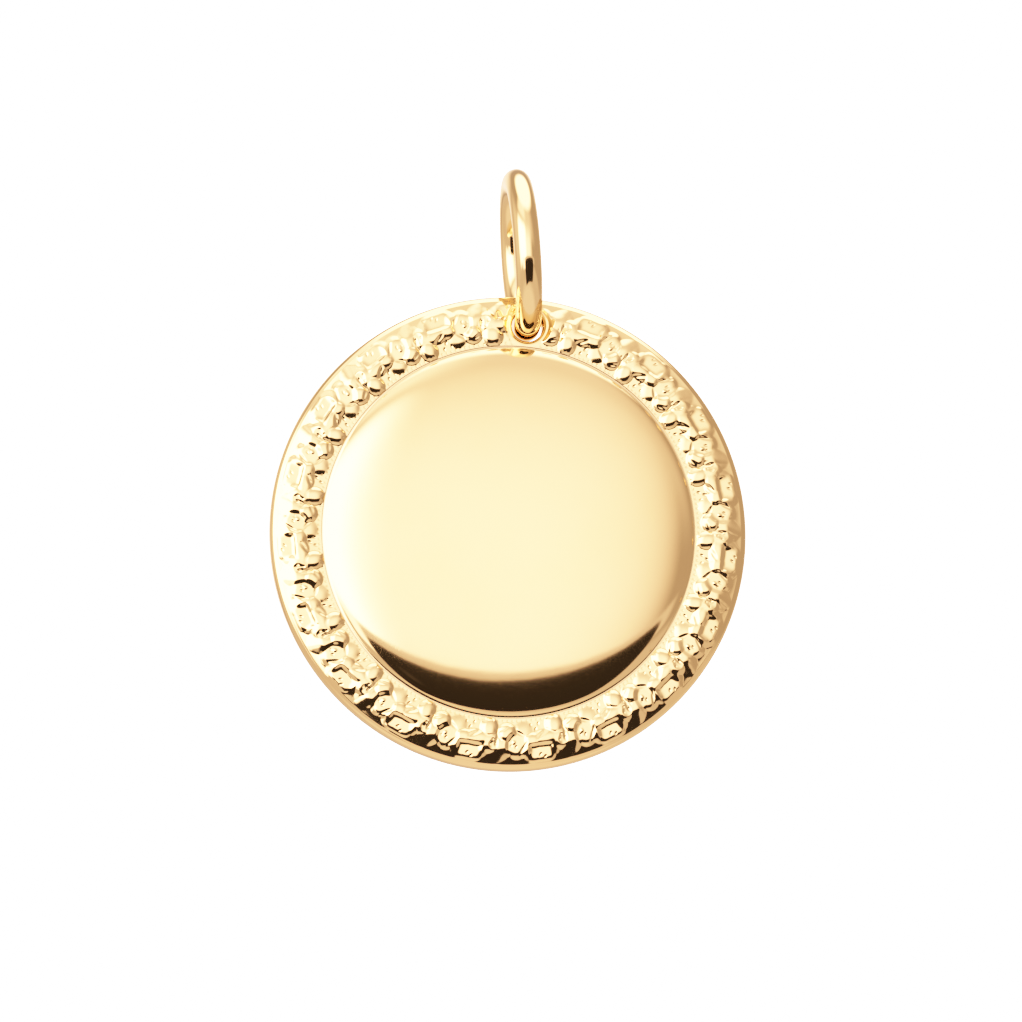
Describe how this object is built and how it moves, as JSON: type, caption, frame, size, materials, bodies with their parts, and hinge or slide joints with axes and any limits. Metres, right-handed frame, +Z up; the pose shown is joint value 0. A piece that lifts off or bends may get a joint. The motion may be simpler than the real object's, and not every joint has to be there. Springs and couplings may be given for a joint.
{
  "type": "disc pendant",
  "caption": "Round disc pendant with a polished cushion middle and a raised flower border, hung from a jump ring through a drilled hole.",
  "frame": {"origin": "inner top of the jump ring, where a chain runs through it", "axes": "+Z up, the disc hanging below the origin in an XZ plane; the flowered front faces -Y; +X to the viewer's right"},
  "size_m": [0.02, 0.0072, 0.0254],
  "materials": {
    "gilt_casting": "polished gold plate",
    "gilt_wire": "polished gold plate"
  },
  "bodies": {
    "ring": {"jump_ring": "gilt_wire"},
    "disc": {"disc": "gilt_casting"}
  },
  "joints": [
    {"name": "swing", "type": "hinge", "parent": "ring", "child": "disc", "pos_m": [0.00093, 0, -0.00554], "axis": [0, 1, 0], "range_deg": [-97, 77]}
  ]
}
